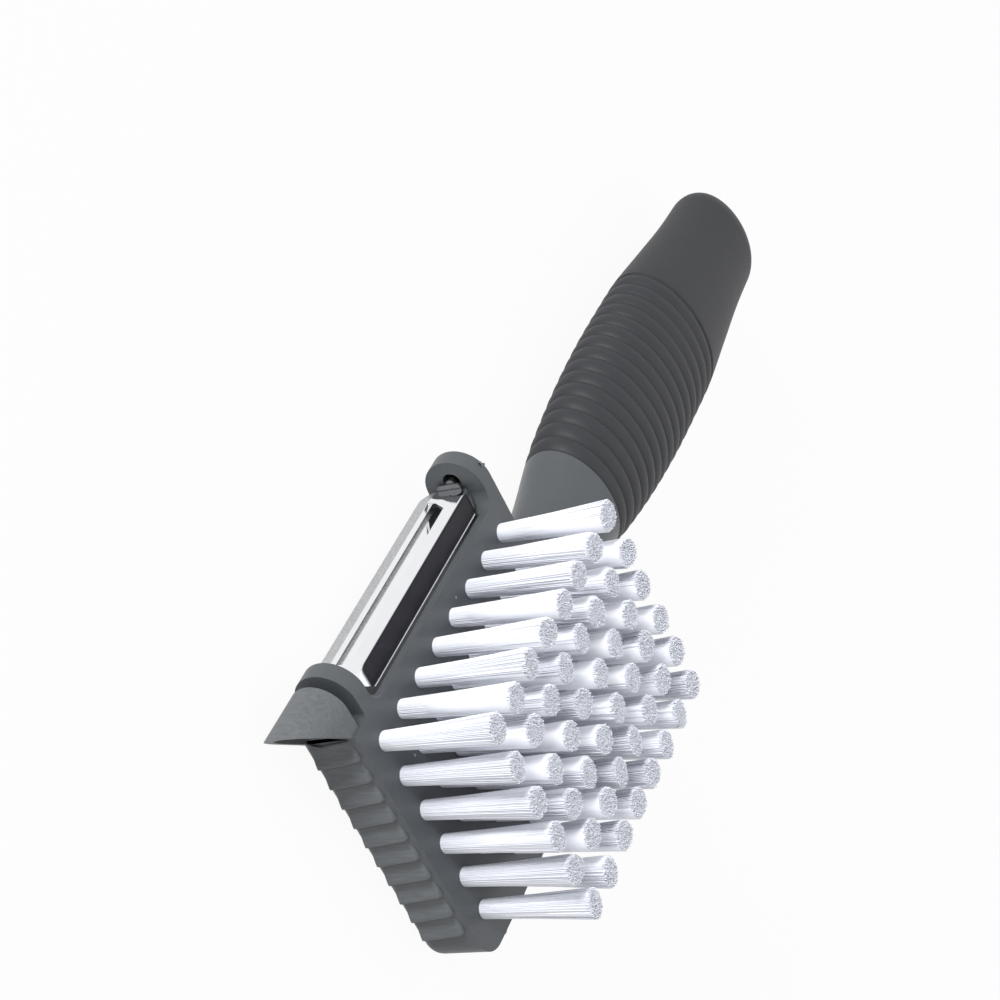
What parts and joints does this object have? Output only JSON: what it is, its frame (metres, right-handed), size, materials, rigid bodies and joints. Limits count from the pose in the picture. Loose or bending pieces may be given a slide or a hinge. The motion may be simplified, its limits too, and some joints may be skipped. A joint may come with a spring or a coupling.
{
  "type": "kitchen brush",
  "caption": "Kitchen brush with bristle tufts, a swivel peeler blade, a scooped eye gouge, ribbed scraping edges and a ringed grip.",
  "frame": {"origin": "middle of the head's flat back face", "axes": "+X along the handle, away from the head; +Y from the bristle field to the peeler blade; +Z the way the bristles point"},
  "size_m": [0.2075, 0.0645, 0.0414],
  "materials": {
    "hard_grey": "satin",
    "soft_grey": "matt",
    "steel": "polished",
    "nylon": "satin filaments"
  },
  "bodies": {
    "brush": {"head_block": "hard_grey", "handle_core": "hard_grey", "handle_grip": "soft_grey", "tuft_1_1": "nylon", "tuft_1_2": "nylon", "tuft_1_3": "nylon", "tuft_1_4": "nylon", "tuft_1_5": "nylon", "tuft_1_6": "nylon", "tuft_1_7": "nylon", "tuft_1_8": "nylon", "tuft_2_1": "nylon", "tuft_2_2": "nylon", "tuft_2_3": "nylon", "tuft_2_4": "nylon", "tuft_2_5": "nylon", "tuft_2_6": "nylon", "tuft_2_7": "nylon", "tuft_2_8": "nylon", "tuft_3_1": "nylon", "tuft_3_2": "nylon", "tuft_3_3": "nylon", "tuft_3_4": "nylon", "tuft_3_5": "nylon", "tuft_3_6": "nylon", "tuft_3_7": "nylon", "tuft_3_8": "nylon", "tuft_4_1": "nylon", "tuft_4_2": "nylon", "tuft_4_3": "nylon", "tuft_4_4": "nylon", "tuft_4_5": "nylon", "tuft_4_6": "nylon", "tuft_4_7": "nylon", "tuft_4_8": "nylon", "tuft_5_1": "nylon", "tuft_5_2": "nylon", "tuft_5_3": "nylon", "tuft_5_4": "nylon", "tuft_5_5": "nylon", "tuft_5_6": "nylon", "tuft_5_7": "nylon", "tuft_5_8": "nylon", "tuft_6_1": "nylon", "tuft_6_2": "nylon", "tuft_6_3": "nylon", "tuft_6_4": "nylon", "tuft_6_5": "nylon", "tuft_6_6": "nylon", "tuft_6_7": "nylon", "tuft_6_8": "nylon"},
    "blade": {"peeler_blade": "steel"}
  },
  "joints": [
    {"name": "blade_swivel", "type": "hinge", "parent": "brush", "child": "blade", "pos_m": [0, 0.0325, 0.0065], "axis": [1, 0, 0], "range_deg": [-20, 20]}
  ]
}
